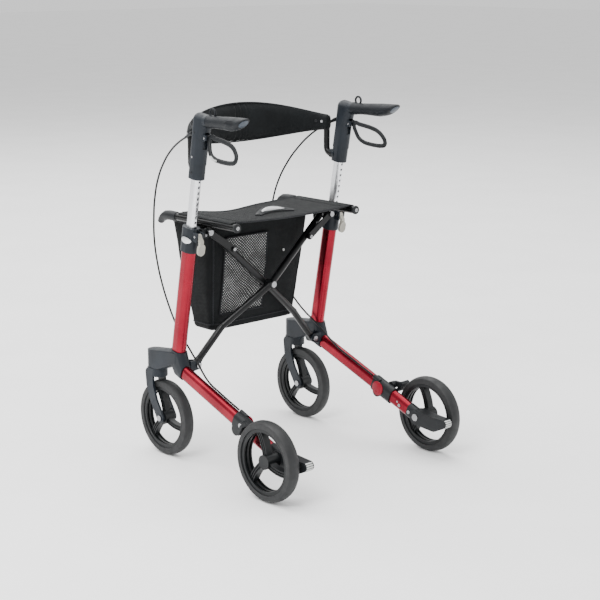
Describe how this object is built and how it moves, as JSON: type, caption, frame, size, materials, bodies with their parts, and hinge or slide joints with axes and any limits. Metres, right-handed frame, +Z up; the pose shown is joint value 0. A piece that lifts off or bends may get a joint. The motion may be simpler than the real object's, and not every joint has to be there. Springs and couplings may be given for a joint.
{
  "type": "rollator walker",
  "caption": "Folding rollator walker: raked side frames, crossed brace under a cloth seat and bag, height-adjustable handles with loop brakes, backrest strap, swivelling front wheels.",
  "frame": {"origin": "on the ground, midway between the two side frames and midway between the front of the caster wheels and the tip of the kerb pedals", "axes": "+X to the user's right, +Y the walking direction, +Z up"},
  "size_m": [0.598, 0.6509, 0.92],
  "materials": {
    "frame_paint": "metallic red lacquer, satin clear coat",
    "slate_plastic": "fine satin",
    "lever_grey": "satin",
    "satin_aluminium": "satin anodised",
    "black_tube": "semi-gloss black powder coat",
    "black_plastic": "fine matte",
    "grip_rubber": "soft satin",
    "cable_jacket": "smooth black jacket",
    "wheel_plastic": "satin",
    "wheel_tyre": "matte soft polyurethane",
    "bright_steel": "zinc plated",
    "seat_cloth": "coated woven polyester",
    "pull_strap": "moulded, satin",
    "bag_cloth": "woven nylon with a mesh panel",
    "pad_cloth": "stretched woven cover over foam"
  },
  "bodies": {
    "frame_left": {"upright_tube_l": "frame_paint", "lower_tube_l": "frame_paint", "front_casting_l": "slate_plastic", "clamp_collar_l": "slate_plastic", "brake_housing_l": "black_plastic", "tip_pedal_l": "black_plastic", "rear_axle_l": "bright_steel", "rail_bracket_l": "black_plastic", "brake_cable_l": "cable_jacket", "frame_pins_l": "bright_steel"},
    "handle_left": {"handle_tube_l": "satin_aluminium", "handle_post_l": "slate_plastic", "grip_l": "grip_rubber", "backrest_collar_l": "slate_plastic", "backrest_arm_l": "black_tube", "backrest_pad": "pad_cloth"},
    "brake_lever_left": {"brake_lever_l": "black_plastic"},
    "brake_shoe_left": {"brake_shoe_l": "black_plastic"},
    "clamp_lever_left": {"clamp_lever_l": "lever_grey"},
    "rear_wheel_left": {"rear_wheel_l": "wheel_plastic", "rear_tyre_l": "wheel_tyre"},
    "caster_left": {"caster_fork_l": "slate_plastic", "caster_axle_l": "bright_steel"},
    "caster_wheel_left": {"caster_wheel_l": "wheel_plastic", "caster_tyre_l": "wheel_tyre"},
    "link_left": {"fold_link_l": "black_tube"},
    "frame_right": {"upright_tube_r": "frame_paint", "lower_tube_r": "frame_paint", "front_casting_r": "slate_plastic", "clamp_collar_r": "slate_plastic", "brake_housing_r": "black_plastic", "tip_pedal_r": "black_plastic", "rear_axle_r": "bright_steel", "rail_bracket_r": "black_plastic", "brake_cable_r": "cable_jacket", "frame_pins_r": "bright_steel"},
    "handle_right": {"handle_tube_r": "satin_aluminium", "handle_post_r": "slate_plastic", "grip_r": "grip_rubber", "backrest_collar_r": "slate_plastic", "backrest_arm_r": "black_tube"},
    "brake_lever_right": {"brake_lever_r": "black_plastic"},
    "brake_shoe_right": {"brake_shoe_r": "black_plastic"},
    "clamp_lever_right": {"clamp_lever_r": "lever_grey"},
    "rear_wheel_right": {"rear_wheel_r": "wheel_plastic", "rear_tyre_r": "wheel_tyre"},
    "caster_right": {"caster_fork_r": "slate_plastic", "caster_axle_r": "bright_steel"},
    "caster_wheel_right": {"caster_wheel_r": "wheel_plastic", "caster_tyre_r": "wheel_tyre"},
    "link_right": {"fold_link_r": "black_tube"},
    "brace_a": {"cross_brace_a": "black_tube", "seat_rail_r": "black_tube", "pivot_bolt": "bright_steel"},
    "brace_b": {"cross_brace_b": "black_tube", "seat_rail_l": "black_tube"},
    "seat": {"seat_sling": "seat_cloth", "seat_handle": "pull_strap", "bag": "bag_cloth"}
  },
  "joints": [
    {"name": "fold", "type": "hinge", "parent": "frame_left", "child": "brace_a", "pos_m": [-0.205, 0.15, 0.25], "axis": [0, -1, 0], "range_deg": [0, 42], "deforming": ["seat_sling", "seat_handle", "bag", "backrest_pad"]},
    {"name": "scissor", "type": "hinge", "parent": "brace_a", "child": "brace_b", "pos_m": [0, 0.0995, 0.442], "axis": [0, -1, 0], "range_deg": [-84, 0]},
    {"name": "fold_right", "type": "hinge", "parent": "brace_b", "child": "frame_right", "pos_m": [0.205, 0.15, 0.25], "axis": [0, -1, 0], "range_deg": [0, 42]},
    {"name": "seat_level", "type": "hinge", "parent": "brace_a", "child": "seat", "pos_m": [0.203, 0.1, 0.627], "axis": [0, -1, 0], "range_deg": [-42, 0]},
    {"name": "link_left_turn", "type": "hinge", "parent": "frame_left", "child": "link_left", "pos_m": [-0.208, 0.08, 0.604], "axis": [0, -1, 0], "range_deg": [0, 123]},
    {"name": "link_right_turn", "type": "hinge", "parent": "frame_right", "child": "link_right", "pos_m": [0.208, 0.08, 0.604], "axis": [0, 1, 0], "range_deg": [0, 123]},
    {"name": "height_left", "type": "slide", "parent": "frame_left", "child": "handle_left", "axis": [0, -0.1797, 0.9837], "range_m": [-0.11, 0.1], "deforming": ["brake_cable_l"]},
    {"name": "height_right", "type": "slide", "parent": "frame_right", "child": "handle_right", "axis": [0, -0.1797, 0.9837], "range_m": [-0.11, 0.1], "deforming": ["brake_cable_r"]},
    {"name": "clamp_left", "type": "hinge", "parent": "frame_left", "child": "clamp_lever_left", "pos_m": [-0.243, 0.0805, 0.5982], "axis": [-1, 0, 0], "range_deg": [0, 110]},
    {"name": "brake_pull_left", "type": "hinge", "parent": "handle_left", "child": "brake_lever_left", "pos_m": [-0.243, 0.04, 0.846], "axis": [-1, 0, 0], "range_deg": [0, 14], "stiffness_Nm_per_rad": 1.6},
    {"name": "brake_press_left", "type": "hinge", "parent": "frame_left", "child": "brake_shoe_left", "pos_m": [-0.243, -0.11, 0.16], "axis": [1, 0, 0], "range_deg": [0, 4]},
    {"name": "caster_swivel_left", "type": "hinge", "parent": "frame_left", "child": "caster_left", "pos_m": [-0.243, 0.2575, 0.24], "axis": [0, 0, 1], "continuous": true},
    {"name": "caster_roll_left", "type": "hinge", "parent": "caster_left", "child": "caster_wheel_left", "pos_m": [-0.243, 0.2255, 0.1], "axis": [1, 0, 0], "continuous": true},
    {"name": "rear_roll_left", "type": "hinge", "parent": "frame_left", "child": "rear_wheel_left", "pos_m": [-0.283, -0.2205, 0.1], "axis": [1, 0, 0], "continuous": true},
    {"name": "clamp_right", "type": "hinge", "parent": "frame_right", "child": "clamp_lever_right", "pos_m": [0.243, 0.0805, 0.5982], "axis": [-1, 0, 0], "range_deg": [0, 110]},
    {"name": "brake_pull_right", "type": "hinge", "parent": "handle_right", "child": "brake_lever_right", "pos_m": [0.243, 0.04, 0.846], "axis": [-1, 0, 0], "range_deg": [0, 14], "stiffness_Nm_per_rad": 1.6},
    {"name": "brake_press_right", "type": "hinge", "parent": "frame_right", "child": "brake_shoe_right", "pos_m": [0.243, -0.11, 0.16], "axis": [1, 0, 0], "range_deg": [0, 4]},
    {"name": "caster_swivel_right", "type": "hinge", "parent": "frame_right", "child": "caster_right", "pos_m": [0.243, 0.2575, 0.24], "axis": [0, 0, 1], "continuous": true},
    {"name": "caster_roll_right", "type": "hinge", "parent": "caster_right", "child": "caster_wheel_right", "pos_m": [0.243, 0.2255, 0.1], "axis": [1, 0, 0], "continuous": true},
    {"name": "rear_roll_right", "type": "hinge", "parent": "frame_right", "child": "rear_wheel_right", "pos_m": [0.283, -0.2205, 0.1], "axis": [1, 0, 0], "continuous": true}
  ],
  "couplings": [
    {"joint": "scissor", "follows": "fold", "ratio": -2},
    {"joint": "fold_right", "follows": "fold", "ratio": 1},
    {"joint": "seat_level", "follows": "fold", "ratio": -1},
    {"joint": "link_left_turn", "follows": "fold", "ratio": 2.914},
    {"joint": "link_right_turn", "follows": "fold", "ratio": 2.914},
    {"joint": "height_right", "follows": "height_left", "ratio": 1},
    {"joint": "brake_press_left", "follows": "brake_pull_left", "ratio": 0.2857},
    {"joint": "brake_press_right", "follows": "brake_pull_right", "ratio": 0.2857}
  ]
}
